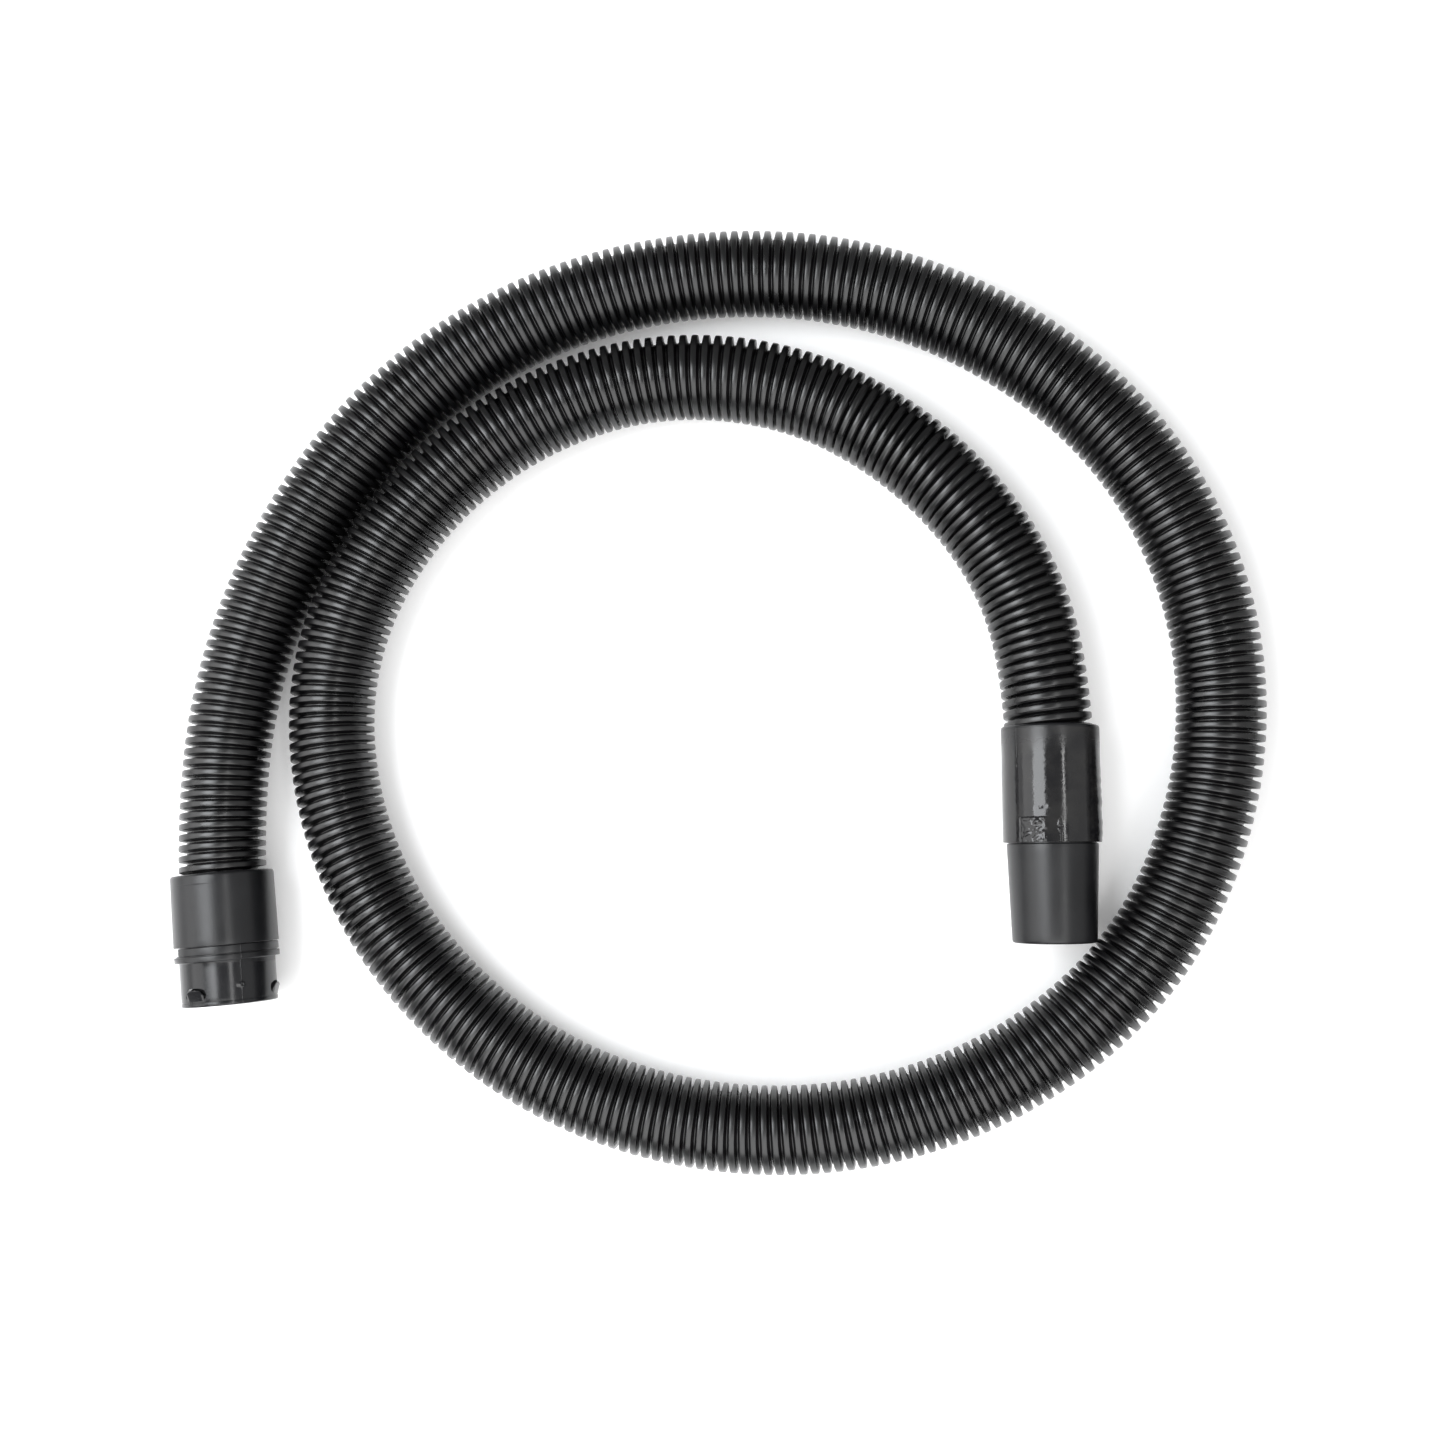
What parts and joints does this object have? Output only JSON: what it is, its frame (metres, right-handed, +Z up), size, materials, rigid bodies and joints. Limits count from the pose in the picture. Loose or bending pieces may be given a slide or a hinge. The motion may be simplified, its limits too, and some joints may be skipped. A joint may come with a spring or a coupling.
{
  "type": "vacuum hose",
  "caption": "Corrugated wet/dry vacuum hose lying in a loop and a half, with a swivel snap-in machine cuff and a swivel tapered tool cuff.",
  "frame": {"origin": "on the floor that the hose lies on, midway between the two end cuffs", "axes": "+X from the machine-end cuff to the tool-end cuff, +Y across the floor from the cuffs' mouths towards the loop's far side, +Z up"},
  "size_m": [0.6055, 0.5258, 0.057],
  "materials": {
    "hose_plastic": "semi-gloss black, flexible",
    "cuff_plastic": "satin black, moulded",
    "tape_film": "glossy black film with wrinkles",
    "ring_steel": "plain spring steel",
    "seal_rubber": "matte black rubber"
  },
  "bodies": {
    "hose_body": {"corrugated_hose": "hose_plastic", "machine_sleeve": "cuff_plastic", "machine_seal": "seal_rubber", "tool_sleeve": "cuff_plastic", "tool_seal": "seal_rubber", "tape_wrap": "tape_film"},
    "machine_end": {"machine_connector": "cuff_plastic", "machine_retaining_ring": "ring_steel"},
    "tool_end": {"tool_nozzle": "cuff_plastic", "tool_retaining_ring": "ring_steel"}
  },
  "joints": [
    {"name": "machine_swivel", "type": "hinge", "parent": "hose_body", "child": "machine_end", "pos_m": [-0.23034, -0.00243, 0.0285], "axis": [0.0924, -0.9957, 0], "continuous": true},
    {"name": "tool_swivel", "type": "hinge", "parent": "hose_body", "child": "tool_end", "pos_m": [0.23136, 0.07707, 0.0264], "axis": [0.007, -1, 0], "continuous": true}
  ]
}
